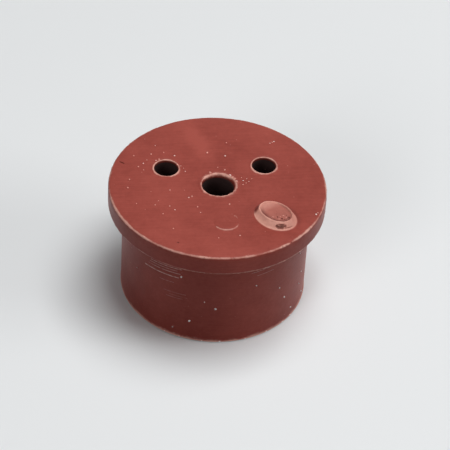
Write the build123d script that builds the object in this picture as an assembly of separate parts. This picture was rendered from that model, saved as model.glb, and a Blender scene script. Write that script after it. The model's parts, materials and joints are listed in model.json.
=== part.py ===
from build123d import *
import math
import os

# A rubber stopper moulded in one piece: a straight plug under a wider, thinner flange.
# A screw bore runs down the axis. Round it stand the tube places, all but one of them bored right through.
# The last place is bored from below only, and a skin of rubber still closes it at the top.
# Lengths are in millimetres and angles in degrees. The origin is the centre of the plug's end face, +Z up.

# Plug and flange; the mould parts at the flange's lower edge, which is left sharp
plug_diameter = 22.5
plug_length = 12.7
plug_end_chamfer = 0.12
flange_overhang = 1.75
flange_thickness = 2.4
flange_root_round = 0.3
flange_top_round = 0.3

# Screw bore on the axis; the bores' mouths are rounded on the top face and sharp on the plug's end
screw_bore_diameter = 3.8
screw_mouth_round = 0.3

# Tube places on a circle round the axis
tube_place_count = 3
tube_pitch_diameter = 13.6
tube_bore_diameter = 2.9
tube_mouth_round = 0.2
closed_place_angle = -90.0
closed_skin = 1.2

# Print left by the closed place's blank: a leaning disc, proud of the top face outside and dipped inside
witness_rise = 0.14
witness_dip = 0.04

# Oval button where the mould was filled: a sloping skirt, a rounded lip and a dished top
gate_rim_distance = 4.3
gate_place_angle = -44.5
gate_long_axis_angle = -46.0
gate_lip_length = 4.4
gate_lip_width = 3.2
gate_height = 0.9
gate_skirt_run = 0.5
gate_lip_round = 0.1
gate_lip_wall = 0.15
gate_dish_depth = 0.2
gate_dish_run = 0.15

# Nick in the button's skirt, placed by its bearing from the button's centre
nick_angle = -81.0
nick_radius = 0.6
nick_depth = 0.2

# Worked out from the sizes above
plug_radius = plug_diameter / 2
flange_radius = plug_radius + flange_overhang
total_height = plug_length + flange_thickness
tube_step_angle = 360 / tube_place_count


def polar_point(radius, angle, level):
    return Vector(radius, 0, level).rotate(Axis.Z, angle)


def bearing(angle):
    return Axis.X.direction.rotate(Axis.Z, angle)


def turn_plug_and_flange():
    # Half section from the axis out and back, with the moulded edges rounded
    axis_foot = (0, 0)
    axis_top = (0, total_height)
    with BuildSketch(Plane.XZ) as half_section:
        with BuildLine():
            FilletPolyline(
                axis_foot,
                (plug_radius - plug_end_chamfer, 0),
                (plug_radius, plug_end_chamfer),
                (plug_radius, plug_length),
                (flange_radius, plug_length),
                (flange_radius, total_height),
                axis_top,
                radius=[0, 0, flange_root_round, 0, flange_top_round],
            )
            Line(axis_top, axis_foot)
        make_face()
    revolve(half_section.sketch, axis=Axis.Z)


def bore_through(place, diameter, mouth_round):
    with Locations(place):
        Hole(diameter / 2)
    top_mouth = edges(Select.LAST).filter_by(GeomType.CIRCLE).sort_by(Axis.Z).last
    fillet(top_mouth, mouth_round)


def bore_closed_place():
    # Bored upwards from the plug's end face, stopping below the top skin
    with Locations(polar_point(tube_pitch_diameter / 2, closed_place_angle, 0)):
        Hole(tube_bore_diameter / 2, depth=total_height - closed_skin)


def print_witness_mark():
    # The blank sat askew in the mould, so the disc leans and only its outer half stands out of the face
    lean = math.degrees(math.atan2(witness_rise + witness_dip, tube_bore_diameter))
    level = total_height + (witness_rise - witness_dip) / 2
    middle = polar_point(tube_pitch_diameter / 2, closed_place_angle, level)
    blank_face = Plane(middle, x_dir=bearing(closed_place_angle)).rotated((0, -lean, 0))
    with BuildSketch(blank_face) as blank_print:
        Circle(tube_bore_diameter / 2)
    extrude(blank_print.sketch, amount=-closed_skin / 2)


def gate_plane(rise):
    # Plane over the button's centre at a height above the top face, its X along the button's long axis
    middle = polar_point(flange_radius - gate_rim_distance, gate_place_angle, total_height + rise)
    return Plane(middle, x_dir=bearing(gate_long_axis_angle))


def gate_oval(rise, growth):
    # The lip's oval at a height above the top face, grown all round by a signed distance
    with BuildSketch(gate_plane(rise)) as oval:
        Ellipse(gate_lip_length / 2 + growth, gate_lip_width / 2 + growth)
    return oval.sketch


def raise_gate_button():
    loft([gate_oval(0, gate_skirt_run), gate_oval(gate_height, 0)])
    lip = faces().sort_by(Axis.Z).last.outer_wire().edges()
    fillet(lip, gate_lip_round)
    dish_mouth = gate_oval(gate_height, -gate_lip_wall)
    dish_floor = gate_oval(gate_height - gate_dish_depth, -gate_lip_wall - gate_dish_run)
    loft([dish_mouth, dish_floor], mode=Mode.SUBTRACT)


def nick_gate_skirt():
    # A small round bite, square to the skirt at half its height
    skirt_slope = math.atan2(gate_height, gate_skirt_run)
    turn = math.radians(nick_angle - gate_long_axis_angle)
    half_length = gate_lip_length / 2 + gate_skirt_run / 2
    half_width = gate_lip_width / 2 + gate_skirt_run / 2
    reach = half_length * half_width / math.hypot(half_width * math.cos(turn), half_length * math.sin(turn))
    lift = nick_radius - nick_depth
    reach += lift * math.sin(skirt_slope)
    rise = lift * math.cos(skirt_slope)
    bite = gate_plane(gate_height / 2) * Pos(reach * math.cos(turn), reach * math.sin(turn), rise)
    with Locations(bite):
        Sphere(nick_radius, mode=Mode.SUBTRACT)


with BuildPart() as stopper:
    turn_plug_and_flange()
    bore_through((0, 0, 0), screw_bore_diameter, screw_mouth_round)
    for step in range(1, tube_place_count):
        open_place = polar_point(tube_pitch_diameter / 2, closed_place_angle + step * tube_step_angle, 0)
        bore_through(open_place, tube_bore_diameter, tube_mouth_round)
    bore_closed_place()
    print_witness_mark()
    raise_gate_button()
    nick_gate_skirt()

os.makedirs("parts", exist_ok=True)
export_step(stopper.part, "parts/stopper.step")
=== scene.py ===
import bpy
import json
import math
from mathutils import Matrix, Vector
from mathutils.kdtree import KDTree


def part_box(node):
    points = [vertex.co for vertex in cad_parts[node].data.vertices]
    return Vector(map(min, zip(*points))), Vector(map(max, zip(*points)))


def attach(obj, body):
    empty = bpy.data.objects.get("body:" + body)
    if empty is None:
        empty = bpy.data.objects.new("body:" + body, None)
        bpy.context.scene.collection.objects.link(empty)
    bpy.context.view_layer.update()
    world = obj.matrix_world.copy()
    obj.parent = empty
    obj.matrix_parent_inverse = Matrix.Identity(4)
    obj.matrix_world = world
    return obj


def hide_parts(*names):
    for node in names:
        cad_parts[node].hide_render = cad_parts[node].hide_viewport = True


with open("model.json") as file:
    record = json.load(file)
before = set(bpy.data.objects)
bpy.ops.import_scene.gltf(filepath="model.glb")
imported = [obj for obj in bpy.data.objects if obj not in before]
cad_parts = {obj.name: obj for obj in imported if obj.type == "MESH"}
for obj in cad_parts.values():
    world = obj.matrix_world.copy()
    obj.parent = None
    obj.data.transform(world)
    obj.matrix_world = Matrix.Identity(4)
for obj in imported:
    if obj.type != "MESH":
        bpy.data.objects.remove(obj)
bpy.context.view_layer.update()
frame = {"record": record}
mm = 0.001
mergeDistance = 0.001 * mm   # points closer than this become one

# sizes that the CAD part already fixes, in millimetres
mounts = {mount["name"]: mount for mount in frame["record"]["mounts"]}
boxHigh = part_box("stopper")[1]
plugRadius = mounts["plug"]["dims"]["r_mm"]
screwRadius = mounts["screw_bore"]["dims"]["r_mm"]
tubeRadius = mounts["tube_bore_left"]["dims"]["r_mm"]
closedDepth = mounts["closed_tube_bore"]["dims"]["length_mm"]
seatLevel = mounts["flange_seat"]["pos_m"][2] / mm
flangeRadius = boxHigh.x / mm
tubePlaces = [Vector(mounts[name]["pos_m"]).xy / mm for name in ("tube_bore_left", "tube_bore_right")]
closedPlace = Vector(mounts["closed_tube_bore"]["pos_m"]).xy / mm
print("frame loaded: flange radius", round(flangeRadius, 2), "plug radius", round(plugRadius, 2))


# modelling helpers, all in millimetres and degrees

def deselectAll():
    bpy.ops.object.select_all(action="DESELECT")


def makeActive(piece):
    deselectAll()
    piece.select_set(True)
    bpy.context.view_layer.objects.active = piece


def polar(radius, bearing):
    angle = math.radians(bearing)
    return Vector((radius * math.cos(angle), radius * math.sin(angle)))


def arcRings(centreRadius, centreLevel, size, startAngle, endAngle, steps):
    rings = []
    for step in range(steps + 1):
        point = polar(size, startAngle + (endAngle - startAngle) * step / steps)
        rings.append((centreRadius + point.x, centreLevel + point.y))
    return rings


def spread(start, end, count):
    return [start + (end - start) * step / count for step in range(1, count + 1)]


def ramp(value, low, high):
    # 0 below low, 1 above high and smooth between
    share = min(1, max(0, (value - low) / (high - low)))
    return (3 - 2 * share) * share ** 2


def facing(offset, bearing, halfSpread, fullShare=0):
    # 1 on the bearing and 0 from half a spread away; a share of the spread can be full
    edge = math.cos(math.radians(halfSpread))
    return ramp(offset.normalized().dot(polar(1, bearing)), edge, 1 - fullShare * (1 - edge))


def alongTable(table, value):
    # straight-line reading of a short table of pairs
    for (lowKey, lowValue), (highKey, highValue) in zip(table, table[1:]):
        if value <= highKey:
            share = max(0, (value - lowKey) / (highKey - lowKey))
            return lowValue + (highValue - lowValue) * share
    return table[-1][1]


def extrudeRings(name, rings, segments):
    # a circle is pushed out ring by ring; each ring is half its X size, half its Y size and its level
    deselectAll()
    halfX, halfY, level = rings[0]
    bpy.ops.mesh.primitive_circle_add(vertices=segments, radius=mm)
    piece = bpy.context.object
    piece.name = name
    bpy.ops.object.mode_set(mode="EDIT")
    bpy.ops.mesh.select_all(action="SELECT")
    bpy.ops.transform.resize(value=(halfX, halfY, 1), center_override=(0, 0, 0))
    bpy.ops.transform.translate(value=(0, 0, level * mm))
    for nextX, nextY, nextLevel in rings[1:]:
        bpy.ops.mesh.extrude_edges_move()
        bpy.ops.transform.resize(value=(nextX / halfX, nextY / halfY, 1), center_override=(0, 0, 0))
        bpy.ops.transform.translate(value=(0, 0, (nextLevel - level) * mm))
        halfX, halfY, level = nextX, nextY, nextLevel
    bpy.ops.mesh.edge_face_add()   # closes the last ring
    bpy.ops.mesh.select_all(action="DESELECT")
    bpy.ops.mesh.select_non_manifold()
    bpy.ops.mesh.edge_face_add()   # closes the first ring
    bpy.ops.mesh.select_all(action="SELECT")
    bpy.ops.mesh.remove_doubles(threshold=mergeDistance)
    bpy.ops.mesh.normals_make_consistent(inside=False)
    bpy.ops.object.mode_set(mode="OBJECT")
    return piece


def roundRings(name, rings, segments):
    return extrudeRings(name, [(radius, radius, level) for radius, level in rings], segments)


def putAt(piece, x, y, z=0, turn=0, lean=0):
    # turn about Z after a lean about the piece's own Y, then fixed into the mesh
    makeActive(piece)
    spin = Matrix.Rotation(math.radians(turn), 4, "Z") @ Matrix.Rotation(math.radians(lean), 4, "Y")
    piece.matrix_world = Matrix.Translation(Vector((x, y, z)) * mm) @ spin
    bpy.ops.object.transform_apply(location=True, rotation=True, scale=False)


def makeLump(size, place, turn=0, fineness=3):
    # a sphere stretched to three half sizes, turned about Z and put in its place
    deselectAll()
    bpy.ops.mesh.primitive_ico_sphere_add(subdivisions=fineness, radius=mm)
    piece = bpy.context.object
    bpy.ops.object.mode_set(mode="EDIT")
    bpy.ops.mesh.select_all(action="SELECT")
    bpy.ops.transform.resize(value=size, center_override=(0, 0, 0))
    bpy.ops.object.mode_set(mode="OBJECT")
    putAt(piece, *place, turn)
    return piece


def joinPieces(pieces, name):
    deselectAll()
    for piece in pieces:
        piece.select_set(True)
    bpy.context.view_layer.objects.active = pieces[0]
    bpy.ops.object.join()
    pieces[0].name = name
    return pieces[0]


def roughen(piece, name, weigh, grain, depth, middle=0.5, direction="NORMAL"):
    # cloudy displacement about a middle grey, weighed point by point; without a grain the points are lifted
    makeActive(piece)
    group = piece.vertex_groups.new(name=name)
    for point in piece.data.vertices:
        group.add([point.index], float(weigh(point.co / mm)), "REPLACE")
    bpy.ops.object.modifier_add(type="DISPLACE")
    push = piece.modifiers[-1]
    if grain:
        push.texture = bpy.data.textures.new(name, "CLOUDS")
        push.texture.noise_scale = grain * mm
        push.texture_coords = "LOCAL"
    push.vertex_group = name
    push.strength = depth * mm
    push.mid_level = middle
    push.direction = direction
    bpy.ops.object.modifier_apply(modifier=push.name)


def everywhere(point):
    return True


def combine(piece, tool, operation):
    makeActive(piece)
    bpy.ops.object.modifier_add(type="BOOLEAN")
    boolean = piece.modifiers[-1]
    boolean.solver = "EXACT"
    boolean.operation = operation
    boolean.object = tool
    bpy.ops.object.modifier_apply(modifier=boolean.name)
    bpy.data.objects.remove(tool)


# the button where the mould was filled, needed first because its height sets the top face's level

button = {
    "rimDistance": 4.3, "placeAngle": -44.5, "longAxisAngle": -46,
    "lipLength": 4.4, "lipWidth": 3.2, "height": 0.9, "dishLevel": 0.72, "segments": 160,
    # growth of the oval beyond the lip and rise above the top face: buried foot, skirt, crest, wall, dish
    "profile": [
        (0.9, -0.6), (0.88, -0.06), (0.8, 0.012), (0.7, 0.018), (0.62, 0.022), (0.57, 0.03), (0.52, 0.055),
        (0.46, 0.12), (0.4, 0.21), (0.33, 0.31), (0.26, 0.42), (0.19, 0.54), (0.12, 0.66), (0.06, 0.76),
        (0.02, 0.83), (-0.02, 0.875), (-0.06, 0.895), (-0.1, 0.9), (-0.13, 0.885), (-0.155, 0.85),
        (-0.17, 0.8), (-0.185, 0.74), (-0.21, 0.7), (-0.25, 0.685), (-0.31, 0.69), (-0.4, 0.705),
        (-0.52, 0.715), (-0.66, 0.72), (-0.8, 0.72), (-0.94, 0.72), (-1.08, 0.715), (-1.22, 0.71),
        (-1.36, 0.71), (-1.5, 0.71),
    ],
    # ovalGrowth looks between an oval of this half width and this growth
    "leastHalfWidth": 0.02, "mostGrowth": 2, "halvings": 14,
    # uneven lip above a level, uneven skirt between two, and the torn part of the dish
    "waveGrain": 0.9, "waveDepth": 0.08, "waveMiddle": 0.4, "waveFrom": 0.1,
    "skirtGrain": 0.22, "skirtDepth": 0.045, "skirtFrom": 0.03, "skirtTo": 0.85,
    "tearGrain": 0.24, "tearDepth": 0.16, "tearMiddle": 0.4,
    "tearSide": -35, "tearReach": 1.05, "tearSize": 0.85, "tearInside": -0.24,
    # one end of the dish stands higher
    "raisedSide": 165, "raisedBy": 0.15, "raisedRun": (0.3, 1.9),
    "raisedFrom": 0.3, "raisedInside": (0.15, 0.22),
}
topLevel = boxHigh.z / mm - button["height"]
buttonPlace = polar(flangeRadius - button["rimDistance"], button["placeAngle"])
halfLength, halfWidth = button["lipLength"] / 2, button["lipWidth"] / 2


def intoButton(place):
    return Matrix.Rotation(math.radians(-button["longAxisAngle"]), 2) @ (place.xy - buttonPlace)


def outOfButton(x, y):
    return buttonPlace + Matrix.Rotation(math.radians(button["longAxisAngle"]), 2) @ Vector((x, y))


def ovalGrowth(local):
    # how far outside the lip's oval a point lies, by halving
    low, high = button["leastHalfWidth"] - halfWidth, button["mostGrowth"]
    for step in range(button["halvings"]):
        middle = (low + high) / 2
        outside = (local.x / (halfLength + middle)) ** 2 + (local.y / (halfWidth + middle)) ** 2 > 1
        low, high = (middle, high) if outside else (low, middle)
    return low


def raiseButton():
    rings = [(halfLength + growth, halfWidth + growth, rise) for growth, rise in button["profile"]]
    piece = extrudeRings("button", rings, button["segments"])
    tearCentre = polar(button["tearReach"], button["tearSide"])

    def raisedEnd(place):
        along = place.xy.dot(polar(1, button["raisedSide"]))
        inside = ramp(-ovalGrowth(place.xy), *button["raisedInside"])
        return ramp(along, *button["raisedRun"]) * (place.z > button["raisedFrom"]) * inside

    def torn(place):
        inside = ovalGrowth(place.xy) < button["tearInside"]
        return inside and (place.xy - tearCentre).length < button["tearSize"]

    def onSkirt(place):
        return button["skirtFrom"] < place.z < button["skirtTo"] and ovalGrowth(place.xy) > 0

    def onLip(place):
        return place.z > button["waveFrom"]

    roughen(piece, "raisedEnd", raisedEnd, None, button["raisedBy"], 0, "Z")
    roughen(piece, "tornDish", torn, button["tearGrain"], button["tearDepth"], button["tearMiddle"], "Z")
    roughen(piece, "unevenSkirt", onSkirt, button["skirtGrain"], button["skirtDepth"])
    roughen(piece, "unevenLip", onLip, button["waveGrain"], -button["waveDepth"], button["waveMiddle"])
    putAt(piece, *buttonPlace, topLevel, button["longAxisAngle"])
    return piece


# plug and flange, turned from one half section

body = {
    "segments": 256, "core": 0.5,
    # steps along each stretch of the half section
    "endSteps": 16, "footSteps": 4, "wallSteps": 20, "rootSteps": 5,
    "seatSteps": 3, "sideSteps": 5, "rimSteps": 8, "topSteps": 32,
    # the foot, with a thin bead above its round
    "footRound": 0.12, "footBead": 0.06, "beadLow": 0.02, "beadHigh": 0.05, "wallGap": 0.1,
    "footRagged": 0.07, "footGrain": 0.6, "footMiddle": 0.2, "footInside": 0.2, "footBelow": 0.01,
    "rootRound": 0.3,
    # the top rim, less ragged towards the back
    "topRound": 0.3, "rimRagged": 0.11, "rimGrain": 0.55, "rimMiddle": 0.35,
    "rimInside": 0.35, "rimBelow": 0.4, "calmBack": 0.5, "calmRun": (-4, 8),
    # flash along the flange's lower edge
    "flashReach": 0.1, "flashDrop": 0.04, "flashInset": 0.01, "flashRise": 0.06, "flashTop": 0.2,
    "flashRagged": 0.18, "flashGrain": 0.5, "flashMiddle": 0.45, "flashInside": 0.07,
}


def turnBody():
    core, foot, root, top = body["core"], body["footRound"], body["rootRound"], body["topRound"]
    rings = [(core, 0)] + [(radius, 0) for radius in spread(core, plugRadius - foot, body["endSteps"])]
    rings += arcRings(plugRadius - foot, foot, foot, -90, 0, body["footSteps"])[1:]
    bead, beadTop = body["footBead"], foot + body["beadHigh"]
    rings += [(plugRadius + bead, foot + body["beadLow"]), (plugRadius + bead, beadTop)]
    rings.append((plugRadius, beadTop + bead))
    wallStart = foot + body["wallGap"] + bead
    rings += [(plugRadius, level) for level in spread(wallStart, seatLevel - root, body["wallSteps"])]
    rings += arcRings(plugRadius + root, seatLevel - root, root, 180, 90, body["rootSteps"])[1:]
    flashStart, flashLevel = flangeRadius - body["flashReach"], seatLevel - body["flashDrop"]
    rings += [(radius, seatLevel) for radius in spread(plugRadius + root, flashStart, body["seatSteps"])]
    rings.append((flashStart + body["flashReach"] / 2, flashLevel))
    rings.append((flangeRadius - body["flashInset"], flashLevel))
    sideStart = seatLevel + body["flashTop"]
    rings += [(flangeRadius, seatLevel + body["flashRise"]), (flangeRadius, sideStart)]
    rings += [(flangeRadius, level) for level in spread(sideStart, topLevel - top, body["sideSteps"])]
    rings += arcRings(flangeRadius - top, topLevel - top, top, 0, 90, body["rimSteps"])[1:]
    rings += [(radius, topLevel) for radius in spread(flangeRadius - top, core, body["topSteps"])]
    piece = roundRings("moulded_stopper", rings, body["segments"])

    def onRim(place):
        onEdge = place.xy.length > flangeRadius - body["rimInside"] and place.z > topLevel - body["rimBelow"]
        return onEdge * (1 - body["calmBack"] * ramp(place.y, *body["calmRun"]))

    def onFlash(place):
        return place.xy.length > flangeRadius - body["flashInside"] and place.z < seatLevel

    def onFoot(place):
        return place.xy.length > plugRadius - body["footInside"] and place.z < foot - body["footBelow"]

    roughen(piece, "rim", onRim, body["rimGrain"], -body["rimRagged"], body["rimMiddle"])
    roughen(piece, "flash", onFlash, body["flashGrain"], -body["flashRagged"], body["flashMiddle"], "Z")
    roughen(piece, "foot", onFoot, body["footGrain"], -body["footRagged"], body["footMiddle"])
    return piece


# bores: a low bead stands round each mouth, a straight cutter opens the bore and a flare rounds its mouth

screw = {
    "beadReach": 0.62, "beadRise": 0.04, "flare": 0.34, "shift": (0.13, 0.03), "ragged": 0.14, "grain": 0.34,
}
tube = {
    "beadReach": 0.42, "beadRise": 0.03, "flare": 0.14, "shift": (0.02, -0.02), "ragged": 0.07, "grain": 0.3,
}
boreTools = {
    "segments": 144,
    # the bead's rings: distance in from its outer edge, depth below the top face and share of its rise
    "beadRings": [(0.05, 0.6, 0), (0, 0.3, 0), (0, 0.03, 0), (0.09, 0, 0.25), (0.17, 0, 0.7), (0.25, 0, 1)],
    "beadInside": 0.3, "beadGrain": 0.4, "beadWave": 0.04, "beadWaveBelow": 0.02,
    # the straight cutter has close rings near the mouth, where the wall goes dark
    "overrun": 1, "coarseSteps": 14, "coarseKept": 12, "closeSteps": 8, "closeEnd": 1.05,
    # the flare starts inside the bore, so that one put off centre leaves no step
    "flareStart": [(0.3, 0.6), (0.16, 0.4), (0.05, 0.15)], "flareArc": (180, 112), "flareSteps": 8,
    "flareEnd": [(0.16, 0.07), (0.3, 0.3), (0.3, 1)], "raggedBelow": 0.1,
    "flareTurn": 0.9,   # so that its points miss the bead's
}


def makeBead(place, radius, mouth):
    outer, rise = radius + mouth["beadReach"], mouth["beadRise"]
    rings = []
    for inset, depth, share in boreTools["beadRings"]:
        rings.append((outer - inset, topLevel - depth + rise * share))
    rings.append((radius - boreTools["beadInside"], topLevel + rise))
    piece = roundRings("bead", rings, boreTools["segments"])

    def onTop(point):
        return point.z > topLevel - boreTools["beadWaveBelow"]

    roughen(piece, "beadWave", onTop, boreTools["beadGrain"], boreTools["beadWave"], direction="Z")
    putAt(piece, *(place + Vector(mouth["shift"])))
    return piece


def makeStraightCutter(place, radius, depth):
    start = -boreTools["overrun"]
    coarse = spread(start, depth, boreTools["coarseSteps"])[:boreTools["coarseKept"]]
    close = spread(coarse[-1], depth - boreTools["closeEnd"], boreTools["closeSteps"])
    rings = [(radius, level) for level in [start] + coarse + close + [depth]]
    piece = roundRings("straightCutter", rings, boreTools["segments"])
    putAt(piece, *place)
    return piece


def makeFlare(place, radius, mouth):
    flare = mouth["flare"]
    arcLevel = topLevel + mouth["beadRise"] - flare
    rings = [(radius - inset, arcLevel - depth) for inset, depth in boreTools["flareStart"]]
    rings += arcRings(radius + flare, arcLevel, flare, *boreTools["flareArc"], boreTools["flareSteps"])
    lastRadius, lastLevel = rings[-1]
    rings += [(lastRadius + reach, lastLevel + rise) for reach, rise in boreTools["flareEnd"]]
    piece = roundRings("flare", rings, boreTools["segments"])

    def atMouth(point):
        return point.z > arcLevel - boreTools["raggedBelow"]

    roughen(piece, "tornMouth", atMouth, mouth["grain"], mouth["ragged"])
    putAt(piece, *(place + Vector(mouth["shift"])), turn=boreTools["flareTurn"])
    return piece


# print of the blank over the closed place: a disc that leans, proud of the face at its outer side

witness = {
    "rise": 0.12, "dip": 0.05, "segments": 96, "shift": (0.36, 0.16), "core": 0.1, "faceSteps": 4,
    # growth beyond the bore, and level
    "edge": [
        (0.16, -0.5), (0.16, -0.15), (0.08, -0.105), (0, -0.06), (-0.08, -0.028), (-0.16, -0.01), (-0.26, 0),
    ],
}
witnessPlace = closedPlace + Vector(witness["shift"])


def makeWitnessDisc():
    rings = [(tubeRadius + growth, level) for growth, level in witness["edge"]]
    rings += [(radius, 0) for radius in spread(rings[-1][0], witness["core"], witness["faceSteps"])]
    piece = roundRings("witnessDisc", rings, witness["segments"])
    lean = math.degrees(math.atan2(witness["rise"] + witness["dip"], 2 * tubeRadius))
    outwards = math.degrees(math.atan2(closedPlace.y, closedPlace.x))
    putAt(piece, *witnessPlace, topLevel + (witness["rise"] - witness["dip"]) / 2, outwards, -lean)
    return piece


# small cuts: the nick in the button's skirt, the groove that runs out of it, pits in the dish and the top

nick = {
    "bearing": -80.5, "reach": 2.17, "rise": 0.43, "size": (0.64, 0.4, 0.25), "fineness": 4,
    # its look: painted shade at the upper right and the lower left, and how far out and from which growth it
    # is marked
    "dirt": (0.12, 0.66), "dirtRun": (-0.5, 1.1), "pale": 0.45, "markReach": 1.25, "markFrom": 0.03,
}
nickPlace = Vector((*(buttonPlace + polar(nick["reach"], nick["bearing"])), topLevel + nick["rise"]))
nickTurn = nick["bearing"] + 90   # its long side lies across the bearing
cuts = {
    # place, half sizes and turn
    "groove": ((7.5, -8.22, 0.22), (0.75, 0.2, 0.07), 3),
    "slit": ((-11.1, 4.6, 0.013), (0.4, 0.09, 0.14), -37),
    "pit": ((-5.55, -10.0, 0.017), (0.17, 0.16, 0.1), 10),
    # along the button's axes: x, y and half size
    "dishPits": [
        (1.2, -0.38, 0.15), (1.62, 0.36, 0.15), (0.62, -0.5, 0.1), (1.52, -0.24, 0.11), (1.2, 0.46, 0.1),
    ],
    "dishPitSquash": 0.8, "dishPitTurn": 90, "grain": 0.22, "ragged": 0.06,
    # painted shade in the pits: strength, reach as a share of the pit's size, and level that it stays below
    "pitDirt": {"dish": 0.6, "slit": 0.6, "pit": 0.45},
    "pitReach": 1.1, "pitLip": -0.02, "dishPitReach": 1.05, "dishPitLip": 0.69,
}


def makeCut(name):
    (x, y, rise), size, turn = cuts[name]
    return makeLump(size, (x, y, topLevel + rise), turn)


def makeCuts():
    pieces = [makeLump(nick["size"], nickPlace, nickTurn, nick["fineness"]), makeCut("slit"), makeCut("pit")]
    for x, y, size in cuts["dishPits"]:
        squashed = size * cuts["dishPitSquash"]
        place = (*outOfButton(x, y), topLevel + button["dishLevel"])
        pieces.append(makeLump((size, squashed, squashed), place, x * cuts["dishPitTurn"]))
    piece = joinPieces(pieces, "cuts")
    roughen(piece, "cutEdges", everywhere, cuts["grain"], cuts["ragged"])
    return piece


# crumbs of dust and torn rubber that cling to the stopper

crumbs = {
    # on the top face: x, y and size
    "top": [
        (-9.6, 5.8, 0.1), (-7.5, 6.0, 0.12), (-8.1, 4.9, 0.1), (-8.55, 4.3, 0.09), (-9.2, 3.75, 0.1),
        (-6.6, 5.0, 0.12), (-7.0, 4.8, 0.1), (-5.95, 6.3, 0.09), (-4.7, 5.6, 0.11), (-4.5, 3.9, 0.11),
        (-4.1, 3.65, 0.08), (-6.9, 7.6, 0.08), (-10.4, 1.4, 0.11), (-10.7, -0.1, 0.13), (-0.7, 6.0, 0.13),
        (1.8, 7.8, 0.1), (1.4, 5.3, 0.12), (1.1, 2.68, 0.13), (-0.7, 2.3, 0.14), (7.1, 7.5, 0.09),
        (7.38, 7.66, 0.11), (7.62, 7.8, 0.09), (-5.75, -0.75, 0.1), (-3.25, -2.0, 0.13), (-3.65, -2.2, 0.1),
        (-9.85, -3.0, 0.08), (-7.7, -3.35, 0.1), (-7.25, -2.6, 0.07), (-6.0, -3.6, 0.1), (-5.45, -4.3, 0.08),
        (-6.9, -4.95, 0.09), (-2.75, -3.9, 0.11), (-2.5, -4.9, 0.07), (1.05, -3.6, 0.13), (-5.9, -7.6, 0.11),
        (1.7, -9.15, 0.11), (-0.8, -9.45, 0.09), (3.1, 0.6, 0.1), (3.0, -0.1, 0.08), (3.4, 0.15, 0.09),
        (3.75, 0.45, 0.07), (2.95, 1.2, 0.08), (11.02, -5.88, 0.13), (11.26, -5.6, 0.1), (-3.82, 3.22, 0.08),
        (-3.65, 2.6, 0.08), (4.15, 0.9, 0.08), (-8.6, 3.1, 0.08), (3.55, 0.95, 0.08), (0.3, 3.2, 0.08),
    ],
    # torn bits on the screw mouth's bead: bearing and size
    "mouth": [(47, 0.11), (36, 0.08), (27, 0.1), (14, 0.08), (108, 0.09), (213, 0.08)],
    # on the plug's wall: bearing, level and size
    "plug": [
        (-116.2, 9.85, 0.13), (-94.7, 5.55, 0.13), (-110, 3.15, 0.14), (-47.5, 4.35, 0.12),
        (-39.5, 1.55, 0.1), (-24.5, 1.8, 0.1), (-70.2, 8.5, 0.1), (-120.5, 1.4, 0.09), (-52.5, 6.45, 0.09),
        (-30.8, 4.1, 0.09), (-150.2, 7.35, 0.07), (-101.5, 6.5, 0.06), (-33, 9.3, 0.08), (-28, 5.6, 0.09),
    ],
    # along the top rim, the flange's lower edge and the foot: bearing and size
    "rim": [
        (-136.8, 0.13), (-133, 0.09), (-102, 0.1), (-87, 0.1), (-60, 0.14), (-57.5, 0.11), (-54, 0.09),
        (-38.5, 0.14), (-120, 0.08), (-165, 0.07), (140, 0.08),
    ],
    "flash": [
        (-70, 0.1), (-58.5, 0.13), (-56.5, 0.08), (-47.5, 0.13), (-46, 0.1), (-102, 0.1), (-84.5, 0.1),
        (-146, 0.1), (-64, 0.08), (-92, 0.08), (-40, 0.08),
    ],
    "foot": [
        (-91, 0.11), (-60.5, 0.1), (-116, 0.09), (-47, 0.11), (-39, 0.1), (-75, 0.07), (-102, 0.07),
        (-126, 0.08),
    ],
    # torn bits in the button's dish: x and y along its axes, and size
    "dish": [
        (0.26, -0.88, 0.09), (0.98, 0.14, 0.09), (1.5, 0.08, 0.1), (1.82, -0.05, 0.08), (1.0, -0.66, 0.08),
        (0.84, -0.24, 0.07),
    ],
    # how they sit on each surface
    "topLift": 0.1, "plugReach": 0.7, "plugScale": 1.1, "rimInset": 0.1, "rimDrop": 0.08, "flashInset": 0.08,
    "footLevel": 0.19, "apart": 1.3,
    "squash": (1, 0.8, 0.75), "turnStep": 67, "fineness": 2, "grain": 0.11, "ragged": 0.05,
    # how dusty they look: those on the top face vary, and those in the dish are duller
    "topShare": (0.74, 0.98), "varyStep": 0.618, "dishShare": 0.55, "dustReach": 1.2, "dustFade": 0.2,
    # levels that tell the dish, the top face, the rim and the flash apart
    "dishAbove": 0.3, "topBelow": 0.2, "rimAbove": 1, "flashBelow": 0.5,
}


def crumbPlaces():
    places = [((x, y, topLevel + size * crumbs["topLift"]), size) for x, y, size in crumbs["top"]]
    mouthReach, mouthLevel = screwRadius + screw["flare"], topLevel + screw["beadRise"]
    for bearing, size in crumbs["mouth"]:
        places.append(((*(Vector(screw["shift"]) + polar(mouthReach, bearing)), mouthLevel), size))
    for bearing, level, size in crumbs["plug"]:
        reach = plugRadius + size * crumbs["plugReach"]
        places.append(((*polar(reach, bearing), level), size * crumbs["plugScale"]))
    edges = {
        "rim": (flangeRadius - crumbs["rimInset"], topLevel - crumbs["rimDrop"]),
        "flash": (flangeRadius - crumbs["flashInset"], seatLevel),
        "foot": (plugRadius + body["footBead"], crumbs["footLevel"]),
    }
    for name, (reach, level) in edges.items():
        places += [((*polar(reach, bearing), level), size) for bearing, size in crumbs[name]]
    dishLevel = topLevel + button["dishLevel"]
    places += [((*outOfButton(x, y), dishLevel), size) for x, y, size in crumbs["dish"]]
    alone = []   # the boolean needs crumbs that don't run into each other
    for place, size in places:
        gaps = [(Vector(place) - Vector(other)).length - crumbs["apart"] * (size + otherSize)
                for other, otherSize in alone]
        if all(gap > 0 for gap in gaps):
            alone.append((place, size))
    return alone


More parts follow.
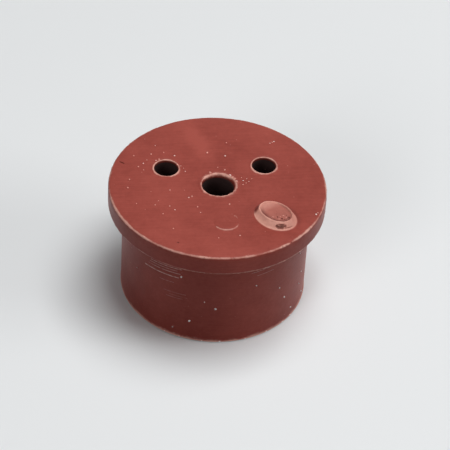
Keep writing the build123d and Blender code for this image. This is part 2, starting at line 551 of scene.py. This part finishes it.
def makeCrumbs():
    pieces = []
    for number, (place, size) in enumerate(crumbPlaces()):
        halfSizes = [size * share for share in crumbs["squash"]]
        pieces.append(makeLump(halfSizes, place, number * crumbs["turnStep"], crumbs["fineness"]))
    piece = joinPieces(pieces, "crumbs")
    roughen(piece, "crumbEdges", everywhere, crumbs["grain"], crumbs["ragged"])
    return piece


stopper = turnBody()
print("body turned:", len(stopper.data.polygons), "faces")
bores = [(Vector((0, 0)), screwRadius, screw)] + [(place, tubeRadius, tube) for place in tubePlaces]
raised = [makeBead(*bore) for bore in bores] + [makeWitnessDisc(), raiseButton()]
combine(stopper, joinPieces(raised, "raised"), "UNION")
throughDepth = topLevel + boreTools["overrun"]
straights = [makeStraightCutter(place, radius, throughDepth) for place, radius, mouth in bores]
straights.append(makeStraightCutter(closedPlace, tubeRadius, closedDepth))
combine(stopper, joinPieces(straights, "straights"), "DIFFERENCE")
flares = [makeFlare(*bore) for bore in bores]
flares.append(makeCut("groove"))   # apart from the nick, which it runs into
combine(stopper, joinPieces(flares, "flares"), "DIFFERENCE")
combine(stopper, makeCuts(), "DIFFERENCE")
print("bores, button and print joined:", len(stopper.data.polygons), "faces")
combine(stopper, makeCrumbs(), "UNION")
print("crumbs joined:", len(stopper.data.polygons), "faces")


# wear with painted highlights, pale stretched rubber with painted light, painted shade and dust, kept as four
# values on each point for the material

# edge wear, with painted highlights at the front of the mouths and on the print's edge, painted light on the
# screw mouth's far slope, and painted shade in the bores
wearAndPaintedLight = {
    # how far the wear reaches from the rim, the flash and the foot
    "rim": 0.3, "rimInset": 0.08, "flash": 0.23, "foot": 0.24, "footRise": 0.05, "footShare": 1.25,
    # rubbed stretches of the rim: bearing and half spread
    "rimStreaks": [(-58.5, 3.5), (-136.5, 2.5), (-40, 3), (-102, 3), (-152, 24)], "rimStreakShare": 0.45,
    # mouths, worn all round, with a wider painted highlight at the front
    "lip": 0.19, "frontLip": 0.29, "lipShare": 1.28, "frontRun": (-0.4, 0.6),
    "lipFlareShare": 0.55, "frontLipShift": 0.06, "lipDrop": 0.02,
    # slope of the screw mouth, and painted light on its far side below the top face
    "screwSlope": 0.5, "screwSlopeShare": 0.88, "farSlope": 0.75, "farSlopeShare": 1.3, "farRun": (0.1, 0.8),
    # painted highlight on arcs of the print's edge: bearing, half spread and strength
    "witnessArcs": [(-82, 92, 0.95), (36, 30, 0.75)],
    "witness": 0.18, "witnessGrowth": 0.03, "witnessBelow": 0.1, "witnessFullShare": 0.4,
    # painted shade on the bore walls
    "boreWall": 0.1, "boreDirtStartShare": 0.72, "boreDirtRun": 0.26, "boreDirtMost": 0.93,
}
# the button's look, by growth and by bearing along its axes: pale rubber with painted light, and painted
# shade
buttonLook = {
    "reach": 1.05, "below": 0.1,
    "pale": [
        (-1.6, 0.16), (-0.5, 0.19), (-0.3, 0.17), (-0.19, 0.28), (-0.15, 0.65), (0.1, 1), (0.5, 0.95),
        (0.58, 0.1), (0.62, 0),
    ],
    # painted shadow of the lip on the front of the dish, by growth
    "dishDirt": [(-0.72, 0), (-0.5, 0.35), (-0.36, 0.6), (-0.2, 0.66), (-0.14, 0.42), (-0.1, 0)],
    "dishDirtSide": -60, "dishDirtRun": (-0.3, 0.5),
    # painted shade round the foot: bearing, half spread, strength, and growth where it starts and ends
    "footDirt": [(180, 46, 1, -0.02, 0.74), (56, 58, 0.6, 0.46, 1.05), (105, 60, 0.7, 0.36, 0.82)],
    "footDirtIn": 0.22, "footDirtOut": 0.3, "footDirtMost": 0.62, "footDirtCover": 1.6,
    # painted light: the skirt is less pale where the lamp falls on it, so its shaded side is painted lighter,
    # and a painted highlight at the raised end of the dish
    "litSide": 36, "litPale": 0.56, "litFrom": -0.1, "litRun": (0.1, 0.9),
    "raisedPale": 0.32, "raisedTo": -0.2, "raisedRun": (0.5, 1.8),
}
smoothAngle = 38


def edgeDistances(place):
    # distance to each worn edge and painted highlight, how far it reaches and how strong it is
    radius = place.xy.length
    fromRim = math.hypot(radius - flangeRadius + wearAndPaintedLight["rimInset"], place.z - topLevel + wearAndPaintedLight["rimInset"])
    fromFlash = math.hypot(radius - flangeRadius, place.z - seatLevel)
    aboveFoot = place.z - body["footRound"] - wearAndPaintedLight["footRise"]
    fromFoot = math.hypot(radius - plugRadius - body["footBead"], aboveFoot)
    near = [(fromRim, wearAndPaintedLight["rim"], 1), (fromFlash, wearAndPaintedLight["flash"], 1)]
    near.append((fromFoot, wearAndPaintedLight["foot"], wearAndPaintedLight["footShare"]))
    for bearing, halfSpread in wearAndPaintedLight["rimStreaks"]:
        share = 1 + wearAndPaintedLight["rimStreakShare"] * facing(place.xy, bearing, halfSpread)
        near.append((fromRim, wearAndPaintedLight["rim"], share))
    for centre, boreRadius, mouth in bores:
        offset = place.xy - centre - Vector(mouth["shift"])
        farSide = offset.normalized().y
        # painted highlight: the lip's band is wider at the front of each mouth
        inFront = ramp(-farSide, *wearAndPaintedLight["frontRun"])
        lipRadius = boreRadius + mouth["flare"] * wearAndPaintedLight["lipFlareShare"] + wearAndPaintedLight["frontLipShift"] * inFront
        distance = math.hypot(offset.length - lipRadius, place.z - topLevel + wearAndPaintedLight["lipDrop"])
        near.append((distance, wearAndPaintedLight["lip"] + (wearAndPaintedLight["frontLip"] - wearAndPaintedLight["lip"]) * inFront, wearAndPaintedLight["lipShare"]))
        if mouth is screw:
            near.append((distance, wearAndPaintedLight["screwSlope"], wearAndPaintedLight["screwSlopeShare"]))
            # painted light on the far slope of the screw mouth
            if place.z < topLevel:
                farShare = wearAndPaintedLight["farSlopeShare"] * ramp(farSide, *wearAndPaintedLight["farRun"])
                near.append((distance, wearAndPaintedLight["farSlope"], farShare))
    # painted highlight on the front and right-back arcs of the print's edge
    if place.z > topLevel - wearAndPaintedLight["witnessBelow"]:
        toWitness = place.xy - witnessPlace
        offPrint = abs(toWitness.length - tubeRadius - wearAndPaintedLight["witnessGrowth"])
        for bearing, halfSpread, strength in wearAndPaintedLight["witnessArcs"]:
            share = facing(toWitness, bearing, halfSpread, wearAndPaintedLight["witnessFullShare"])
            near.append((offPrint, wearAndPaintedLight["witness"], share * strength))
    return near


def paintedBoreShade(place):
    # painted shade: bore walls go dark below the flare
    for centre, radius, mouth in bores + [(closedPlace, tubeRadius, tube)]:
        if (place.xy - centre).length < radius + wearAndPaintedLight["boreWall"]:
            depth = topLevel - place.z - mouth["flare"] * wearAndPaintedLight["boreDirtStartShare"]
            return min(1, max(0, depth / wearAndPaintedLight["boreDirtRun"])) * wearAndPaintedLight["boreDirtMost"]
    return 0


def buttonPaleAndShade(place, local, growth):
    # pale rubber with painted light, and painted shade in the dish, round the foot and in the nick
    side = Vector((local.x / halfLength, local.y / halfWidth)).normalized()
    pale = alongTable(buttonLook["pale"], growth)
    # painted shadow of the lip on the front of the dish
    inFront = ramp(side.dot(polar(1, buttonLook["dishDirtSide"])), *buttonLook["dishDirtRun"])
    dirt = alongTable(buttonLook["dishDirt"], growth) * inFront
    # painted shade round the foot, which also takes away paleness
    for bearing, halfSpread, strength, start, end in buttonLook["footDirt"]:
        setsIn = ramp(growth, start, start + buttonLook["footDirtIn"])
        fadesOut = ramp(end - growth, 0, buttonLook["footDirtOut"])
        amount = facing(side, bearing, halfSpread) * setsIn * fadesOut * strength
        dirt = max(dirt, amount * buttonLook["footDirtMost"])
        pale *= 1 - min(1, buttonLook["footDirtCover"] * amount)
    # painted light on the skirt's shaded side
    if growth > buttonLook["litFrom"]:
        lit = ramp(side.dot(polar(1, buttonLook["litSide"])), *buttonLook["litRun"])
        pale *= 1 - (1 - buttonLook["litPale"]) * lit
    # painted highlight at the raised end of the dish
    if growth < buttonLook["raisedTo"]:
        along = local.dot(polar(1, button["raisedSide"]))
        pale += buttonLook["raisedPale"] * ramp(along, *buttonLook["raisedRun"])
    # painted shade in the nick, darker towards the lower left
    inNick = Matrix.Rotation(math.radians(-nickTurn), 3, "Z") @ (place - nickPlace)
    across, inwards, up = [inNick[axis] / nick["size"][axis] for axis in range(3)]
    if across ** 2 + inwards ** 2 + up ** 2 < nick["markReach"] and growth > nick["markFrom"]:
        least, most = nick["dirt"]
        dirt = least + (most - least) * ramp(-across - up, *nick["dirtRun"])
        pale = nick["pale"]
    return pale, dirt


def shadedPits():
    # painted shade in the pits: place, reach, the level that the shade stays below and its strength
    pits = []
    for x, y, size in cuts["dishPits"]:
        place = Vector((*outOfButton(x, y), topLevel + button["dishLevel"]))
        reach, lip = size * cuts["dishPitReach"], topLevel + cuts["dishPitLip"]
        pits.append((place, reach, lip, cuts["pitDirt"]["dish"]))
    for name in ("slit", "pit"):
        (x, y, rise), size, turn = cuts[name]
        reach, lip = size[0] * cuts["pitReach"], topLevel + cuts["pitLip"]
        pits.append((Vector((x, y, topLevel)), reach, lip, cuts["pitDirt"][name]))
    return pits


def standsProud(place, centre):
    # how far a crumb's point stands out of the surface that it clings to
    if centre.z > topLevel + crumbs["dishAbove"]:
        return place.z - centre.z
    if centre.z > seatLevel + crumbs["rimAbove"]:
        return max(place.z - topLevel, place.xy.length - flangeRadius)
    if centre.z > seatLevel - crumbs["flashBelow"]:
        return max(place.xy.length - flangeRadius, seatLevel - place.z)
    return place.xy.length - plugRadius


def crumbDust(place, tree, places):
    # crumbs are dusty where they stand out of the surface
    centre, nearest, distance = tree.find(place)
    size = places[nearest][1]
    if distance >= size * crumbs["dustReach"]:
        return 0
    share = 1
    if centre.z > topLevel + crumbs["dishAbove"]:
        share = crumbs["dishShare"]
    elif centre.z > topLevel - crumbs["topBelow"]:
        least, most = crumbs["topShare"]
        share = least + (most - least) * (nearest * crumbs["varyStep"] % 1)
    return share * min(1, max(0, standsProud(place, centre) / (crumbs["dustFade"] * size)))


def markSurface(piece):
    names = ("edgeWear", "paleRubber", "dirt", "dust")
    values = {name: piece.data.attributes.new(name, "FLOAT", "POINT").data for name in names}
    places = crumbPlaces()
    tree = KDTree(len(places))
    for index, (place, size) in enumerate(places):
        tree.insert(place, index)
    tree.balance()
    pits = shadedPits()
    for index, point in enumerate(piece.data.vertices):
        place = point.co / mm
        worn = max(strength * (1 - distance / reach) for distance, reach, strength in edgeDistances(place))
        values["edgeWear"][index].value = max(0, worn)
        # painted shade in the bores, then in the button, then in the pits
        dirt = paintedBoreShade(place)
        local = intoButton(place)
        growth = ovalGrowth(local)
        if growth < buttonLook["reach"] and place.z > topLevel - buttonLook["below"]:
            pale, dirt = buttonPaleAndShade(place, local, growth)
            values["paleRubber"][index].value = pale
        # painted shade in the pits
        for pit, reach, lip, strength in pits:
            if place.z < lip and (place - pit).length < reach:
                dirt = max(dirt, strength)
        values["dirt"][index].value = dirt
        values["dust"][index].value = crumbDust(place, tree, places)


def finishMesh(piece):
    makeActive(piece)
    bpy.ops.object.mode_set(mode="EDIT")
    bpy.ops.mesh.select_all(action="SELECT")
    bpy.ops.mesh.normals_make_consistent(inside=False)
    bpy.ops.mesh.select_all(action="DESELECT")
    bpy.ops.object.mode_set(mode="OBJECT")
    piece.vertex_groups.clear()
    bpy.ops.object.shade_smooth_by_angle(angle=math.radians(smoothAngle))
    bpy.ops.object.modifier_add(type="WEIGHTED_NORMAL")
    flatten = piece.modifiers[-1]
    flatten.keep_sharp = True
    bpy.ops.object.modifier_apply(modifier=flatten.name)


finishMesh(stopper)
markSurface(stopper)
print("mesh finished:", len(stopper.data.vertices), "points")


# materials

def hexColour(text):
    shares = [int(text[start:start + 2], 16) / 255 for start in (1, 3, 5)]
    return tuple(v / 12.92 if v <= 0.04045 else ((v + 0.055) / 1.055) ** 2.4 for v in shares) + (1,)


def addNode(tree, kind, settings=None, links=None):
    # a colour mix has its colours at 6 and 7 and its result at 2, a number mix at 2, 3 and 0
    node = tree.nodes.new("ShaderNode" + kind)
    for name, value in (settings or {}).items():
        if isinstance(name, str) and hasattr(node, name):
            setattr(node, name, value)
        else:
            node.inputs[name].default_value = value
    for name, socket in (links or {}).items():
        tree.links.new(socket, node.inputs[name])
    return node


# compression-moulded brown rubber: satin with a fine mould grain, paler where worn or torn, and dusty; with
# painted highlights, painted light on the button's skirt and painted shade in creases, pits and bores
rubber = {
    "colours": {
        # the worn colour also paints highlights, the pale colour also paints light on the button's skirt, and
        # the two darkest colours paint shade
        "dark": "#86372D", "base": "#9F4A3F", "worn": "#DDA798", "mark": "#E2B7AD", "pale": "#F2B4A2",
        "crease": "#4A1B15", "dirt": "#332D2D", "crumb": "#EAA799", "dust": "#FCF5F2",
    },
    # cloudy patterns: size in millimetres, detail and roughness
    "clouds": {
        "zone": (9, 1, 0.5), "mottle": (2.2, 4, 0.6), "fleck": (0.5, 3, 0.6), "wearBreak": (0.4, 4, 0.7),
        "wearPatch": (1.8, 2, 0.5), "grain": (0.16, 3, 0.6), "wave": (1.6, 2, 0.5),
    },
    # drag streaks: length and width
    "streakMm": (2.8, 0.22), "streakNoise": {"Scale": 1, "Detail": 3, "Roughness": 0.5},
    # a rubbed band across the back of the top face: middle, half sizes and turn
    "bandPlace": (-1.6, 8.2), "bandSize": (5.2, 1.5), "bandTurn": -70,
    "bandSpan": {"interpolation_type": "SMOOTHSTEP", "From Min": 1.2, "From Max": 0, "To Max": 0.55},
    "toneShares": {"zone": 1.0, "mottle": 0.7, "fleck": 0.5, "streak": 0.45},
    "toneSpan": {"From Min": 1.0, "From Max": 1.68},
    "wearShares": {"wearBreak": 0.8, "wearPatch": 1.2},
    "wearSpan": {"interpolation_type": "SMOOTHSTEP", "From Min": 1.35, "From Max": 2.2, "To Max": 0.85},
    # turning marks fade between these shares of their width
    "markShares": (1.6, 0.6), "markBreakSpan": {"From Min": 0.3, "From Max": 0.55},
    "paleSpan": {"From Min": 0.3, "From Max": 0.6, "To Min": 0.84},
    "deepDirtSpan": {"From Min": 0.68, "From Max": 0.85},
    "dustSpacingMm": 0.8, "dustSizeMm": 0.07, "dustCoreShare": 0.4,
    "dustySpan": {"From Min": 0.65, "From Max": 1, "To Max": 0.6},
    "whiteSpan": {"From Min": 0.88, "From Max": 1},
    "reliefMm": {"grain": 0.008, "streak": 0.01, "wave": 0.03, "marks": 0.04},
    # the mould leaves the wall smoother than the rubbed top face; the wall starts this far below that face
    "roughnessSpan": {"From Min": 0.3, "From Max": 0.7, "To Min": 0.43, "To Max": 0.54},
    "paleRoughness": 0.55, "wallRoughness": 0.4, "wallStart": 0.05, "wallFull": 0.3,
    "ior": 1.5, "specular": 0.18,
}
# turning marks on the plug under the flange: bearings and levels of both ends, width and strength
scratches = [
    (-143, -118, 9.1, 9.45, 0.055, 1), (-140, -117, 9.7, 10.1, 0.04, 0.7),
    (-139, -119, 10.1, 10.45, 0.035, 0.65), (-138, -116, 10.45, 10.85, 0.042, 0.85),
    (-137, -118, 10.9, 11.2, 0.035, 0.65),
    (-138, -120, 11.25, 11.5, 0.035, 0.7), (-136, -114, 11.55, 11.9, 0.035, 0.7),
    (-134, -120, 11.95, 12.2, 0.03, 0.55), (-131, -121, 8.3, 8.5, 0.035, 0.4),
    (-128, -113, 6.85, 7.05, 0.035, 0.26), (-126, -115, 6.1, 6.25, 0.035, 0.26),
    (-124, -112, 6.5, 6.6, 0.03, 0.22), (-74, -60, 10.6, 10.75, 0.035, 0.55),
    (-70, -58, 10.0, 10.05, 0.035, 0.4),
]


def makeRubber():
    material = bpy.data.materials.new("moulded_brown_rubber")
    material.use_nodes = True
    tree = material.node_tree
    tree.nodes.clear()
    coords = addNode(tree, "TexCoord").outputs["Object"]
    inMm = addNode(tree, "VectorMath", {"operation": "SCALE", "Scale": 1 / mm}, {0: coords}).outputs[0]
    parts = addNode(tree, "SeparateXYZ", links={0: inMm}).outputs
    tint = {name: hexColour(text) for name, text in rubber["colours"].items()}

    # patterns
    pattern = {}
    for name, (size, detail, roughness) in rubber["clouds"].items():
        settings = {"Scale": 1 / size, "Detail": detail, "Roughness": roughness}
        pattern[name] = addNode(tree, "TexNoise", settings, {"Vector": inMm}).outputs["Fac"]
    long, thin = rubber["streakMm"]
    stretched = addNode(tree, "Mapping", {"Scale": (1 / long, 1 / thin, 1 / thin)}, {"Vector": inMm})
    streaks = addNode(tree, "TexNoise", rubber["streakNoise"], {"Vector": stretched.outputs[0]})
    pattern["streak"] = streaks.outputs["Fac"]

    # tone: the rubbed band, broad zones, mottling and flecks, drag streaks
    bandSettings = {
        "vector_type": "TEXTURE", "Location": (*rubber["bandPlace"], topLevel),
        "Rotation": (0, 0, math.radians(rubber["bandTurn"])), "Scale": (*rubber["bandSize"], 1),
    }
    bandPlace = addNode(tree, "Mapping", bandSettings, {"Vector": inMm})
    bandReach = addNode(tree, "VectorMath", {"operation": "LENGTH"}, {0: bandPlace.outputs[0]})
    tone = addNode(tree, "MapRange", rubber["bandSpan"], {"Value": bandReach.outputs["Value"]}).outputs[0]
    for name, share in rubber["toneShares"].items():
        settings = {"operation": "MULTIPLY_ADD", 1: share}
        tone = addNode(tree, "Math", settings, {0: pattern[name], 2: tone}).outputs[0]
    toneShare = addNode(tree, "MapRange", rubber["toneSpan"], {"Value": tone}).outputs[0]
    tones = {"data_type": "RGBA", 6: tint["dark"], 7: tint["base"]}
    colour = addNode(tree, "Mix", tones, {0: toneShare}).outputs[2]

    # worn edges and painted highlights, broken up along their length
    wearAndHighlightAmount = addNode(tree, "Attribute", {"attribute_name": "edgeWear"}).outputs["Fac"]
    for name, share in rubber["wearShares"].items():
        settings = {"operation": "MULTIPLY_ADD", 1: share}
        wearAndHighlightAmount = addNode(tree, "Math", settings, {0: pattern[name], 2: wearAndHighlightAmount}).outputs[0]
    wearAndHighlightMask = addNode(tree, "MapRange", rubber["wearSpan"], {"Value": wearAndHighlightAmount}).outputs[0]

    # turning marks: each is a thin band about a sloping level, between two bearings
    bearing = addNode(tree, "Math", {"operation": "ARCTAN2"}, {0: parts["Y"], 1: parts["X"]}).outputs[0]
    marks = None
    for start, end, startLevel, endLevel, width, strength in scratches:
        ends = {"clamp": False, "From Min": math.radians(start), "From Max": math.radians(end)}
        along = addNode(tree, "MapRange", ends, {"Value": bearing}).outputs[0]
        slope = {"operation": "MULTIPLY_ADD", 1: endLevel - startLevel, 2: startLevel}
        level = addNode(tree, "Math", slope, {0: along})
        above = addNode(tree, "Math", {"operation": "SUBTRACT"}, {0: parts["Z"], 1: level.outputs[0]})
        offLine = addNode(tree, "Math", {"operation": "ABSOLUTE"}, {0: above.outputs[0]})
        outer, inner = [width * share for share in rubber["markShares"]]
        fade = {"From Min": outer, "From Max": inner, "To Max": strength}
        line = addNode(tree, "MapRange", fade, {"Value": offLine.outputs[0]})
        between = addNode(tree, "Math", {"operation": "COMPARE", 1: 0.5, 2: 0.5}, {0: along})   # from 0 to 1
        mark = addNode(tree, "Math", {"operation": "MULTIPLY"}, {0: line.outputs[0], 1: between.outputs[0]})
        if marks:
            mark = addNode(tree, "Math", {"operation": "MAXIMUM"}, {0: marks, 1: mark.outputs[0]})
        marks = mark.outputs[0]
    markBreak = addNode(tree, "MapRange", rubber["markBreakSpan"], {"Value": pattern["wearBreak"]})
    broken = addNode(tree, "Math", {"operation": "MULTIPLY"}, {0: marks, 1: markBreak.outputs[0]})
    pattern["marks"] = broken.outputs[0]

    # stretched rubber on the button goes pale, partly painted light: the skirt's shaded side is painted
    # lighter and the raised end of the dish carries a painted highlight
    paleness = addNode(tree, "Attribute", {"attribute_name": "paleRubber"}).outputs["Fac"]
    paleBreak = addNode(tree, "MapRange", rubber["paleSpan"], {"Value": pattern["fleck"]}).outputs[0]
    paleMask = addNode(tree, "Math", {"operation": "MULTIPLY"}, {0: paleness, 1: paleBreak}).outputs[0]

    # dust: fine specks everywhere, and the crumbs
    specks = addNode(tree, "TexVoronoi", {"Scale": 1 / rubber["dustSpacingMm"]}, {"Vector": inMm}).outputs
    dustEdge = rubber["dustSizeMm"] / rubber["dustSpacingMm"]
    speckSpan = {"From Min": dustEdge, "From Max": dustEdge * rubber["dustCoreShare"]}
    speck = addNode(tree, "MapRange", speckSpan, {"Value": specks["Distance"]})
    chance = addNode(tree, "SeparateColor", links={0: specks["Color"]})
    dusty = addNode(tree, "MapRange", rubber["dustySpan"], {"Value": chance.outputs[0]})
    fine = addNode(tree, "Math", {"operation": "MULTIPLY"}, {0: speck.outputs[0], 1: dusty.outputs[0]})
    crumb = addNode(tree, "Attribute", {"attribute_name": "dust"}).outputs["Fac"]
    dust = addNode(tree, "Math", {"operation": "MAXIMUM"}, {0: fine.outputs[0], 1: crumb}).outputs[0]

    # worn edges with painted highlights, marks and pale rubber with painted light lie over the tone, then
    # painted shade in creases, pits and bores, then dust
    for name, mask in (("worn", wearAndHighlightMask), ("mark", pattern["marks"]), ("pale", paleMask)):
        layer = {"data_type": "RGBA", 7: tint[name]}
        colour = addNode(tree, "Mix", layer, {0: mask, 6: colour}).outputs[2]
    dirt = addNode(tree, "Attribute", {"attribute_name": "dirt"}).outputs["Fac"]
    layers = ((dirt, "deepDirtSpan", "crease", "dirt"), (dust, "whiteSpan", "crumb", "dust"))
    for mask, span, weak, strong in layers:
        share = addNode(tree, "MapRange", rubber[span], {"Value": mask}).outputs[0]
        tones = {"data_type": "RGBA", 6: tint[weak], 7: tint[strong]}
        tone = addNode(tree, "Mix", tones, {0: share}).outputs[2]
        colour = addNode(tree, "Mix", {"data_type": "RGBA"}, {0: mask, 6: colour, 7: tone}).outputs[2]

    # relief: mould grain, drag streaks, slow waves and turning marks
    links = {}
    for name, depth in rubber["reliefMm"].items():
        links["Height"] = pattern[name]
        bump = addNode(tree, "Bump", {"Strength": 1, "Distance": depth * mm}, links)
        links["Normal"] = bump.outputs[0]

    # gloss
    satin = addNode(tree, "MapRange", rubber["roughnessSpan"], {"Value": pattern["fleck"]})
    paleSatin = {"data_type": "FLOAT", 3: rubber["paleRoughness"]}
    dull = addNode(tree, "Mix", paleSatin, {0: paleMask, 2: satin.outputs[0]})
    wallSpan = {"From Min": topLevel - rubber["wallStart"], "From Max": topLevel - rubber["wallFull"]}
    onWall = addNode(tree, "MapRange", wallSpan, {"Value": parts["Z"]})
    wallSatin = {"data_type": "FLOAT", 3: rubber["wallRoughness"]}
    smoother = addNode(tree, "Mix", wallSatin, {0: onWall.outputs[0], 2: dull.outputs[0]})
    shader = addNode(
        tree, "BsdfPrincipled", {"IOR": rubber["ior"], "Specular IOR Level": rubber["specular"]},
        {"Base Color": colour, "Normal": bump.outputs[0], "Roughness": smoother.outputs[0]},
    )
    addNode(tree, "OutputMaterial", links={"Surface": shader.outputs[0]})
    return material


stopper.data.materials.clear()
stopper.data.materials.append(makeRubber())
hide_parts("stopper")
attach(stopper, "root")
print("rubber on")


# plain pale floor, soft studio light and the camera

studio = {
    "floorSize": 3, "paleColour": "#E9EBEC", "bounceColour": "#3E4B58",
    "skyColour": "#6E7680", "skyStrength": 0.03,
    # each lamp: place in metres, size and power
    "lamps": {
        "overheadSoftbox": ((0.1, 0.03, 0.48), 0.3, 1.95),
        "leftFill": ((-0.34, -0.4, 0.3), 0.25, 0.92),
        "rightFill": ((0.54, -0.14, 0.22), 0.3, 1.25),
    },
}


def paleToEye(tree):
    # 1 for what the camera sees directly, mirrored or through glass
    rays = addNode(tree, "LightPath").outputs
    seen = rays["Is Camera Ray"]
    for kind in ("Is Glossy Ray", "Is Transmission Ray"):
        seen = addNode(tree, "Math", {"operation": "MAXIMUM"}, {0: seen, 1: rays[kind]}).outputs[0]
    return seen


def layFloor():
    deselectAll()
    bpy.ops.mesh.primitive_plane_add(size=studio["floorSize"])
    floor = bpy.context.object
    floor.name = "floor"
    material = bpy.data.materials.new("pale_studio_floor")
    material.use_nodes = True
    tree = material.node_tree
    tree.nodes.clear()
    shades = {"data_type": "RGBA", 6: hexColour(studio["bounceColour"]), 7: hexColour(studio["paleColour"])}
    shade = addNode(tree, "Mix", shades, {0: paleToEye(tree)})
    matt = addNode(tree, "BsdfDiffuse", links={"Color": shade.outputs[2]})
    addNode(tree, "OutputMaterial", links={"Surface": matt.outputs[0]})
    floor.data.materials.append(material)


def lightRoom():
    world = bpy.data.worlds.new("studio")
    bpy.context.scene.world = world
    world.use_nodes = True
    tree = world.node_tree
    tree.nodes.clear()
    seen = paleToEye(tree)
    shades = {"data_type": "RGBA", 6: hexColour(studio["skyColour"]), 7: hexColour(studio["paleColour"])}
    shade = addNode(tree, "Mix", shades, {0: seen})
    level = addNode(tree, "Mix", {"data_type": "FLOAT", 2: studio["skyStrength"], 3: 1}, {0: seen})
    back = addNode(tree, "Background", links={"Color": shade.outputs[2], "Strength": level.outputs[0]})
    addNode(tree, "OutputWorld", links={"Surface": back.outputs[0]})
    middle = Vector((0, 0, topLevel / 2 * mm))
    for name, (place, size, power) in studio["lamps"].items():
        deselectAll()
        bpy.ops.object.light_add(type="AREA", location=place)
        lamp = bpy.context.object
        lamp.name = name
        lamp.data.size = size
        lamp.data.energy = power
        lamp.rotation_euler = (middle - lamp.location).to_track_quat("-Z", "Y").to_euler()
        lamp.visible_camera = False


# where the photographer stood: aim point and distance in millimetres, angles in degrees
view = {
    "aim": (1.24, 0.52, 8.24), "distance": 255.4, "azimuth": -8.03, "elevation": 41.24, "roll": 3.61,
    "lens": 168.8, "sensorWidth": 36, "clipStart": 0.01,
}


def setCamera():
    azimuth, elevation = math.radians(view["azimuth"]), math.radians(view["elevation"])
    level = math.cos(elevation)
    away = Vector((math.sin(azimuth) * level, -math.cos(azimuth) * level, math.sin(elevation)))
    camera = bpy.data.objects.new("camera", bpy.data.cameras.new("camera"))
    bpy.context.scene.collection.objects.link(camera)
    camera.location = (Vector(view["aim"]) + away * view["distance"]) * mm
    upright = (-away).to_track_quat("-Z", "Y").to_matrix()
    camera.rotation_euler = (upright @ Matrix.Rotation(math.radians(view["roll"]), 3, "Z")).to_euler()
    camera.data.sensor_width = view["sensorWidth"]
    camera.data.lens = view["lens"]
    camera.data.clip_start = view["clipStart"]
    bpy.context.scene.camera = camera


layFloor()
lightRoom()
setCamera()
bpy.context.scene.view_settings.view_transform = "Standard"
print("studio set")
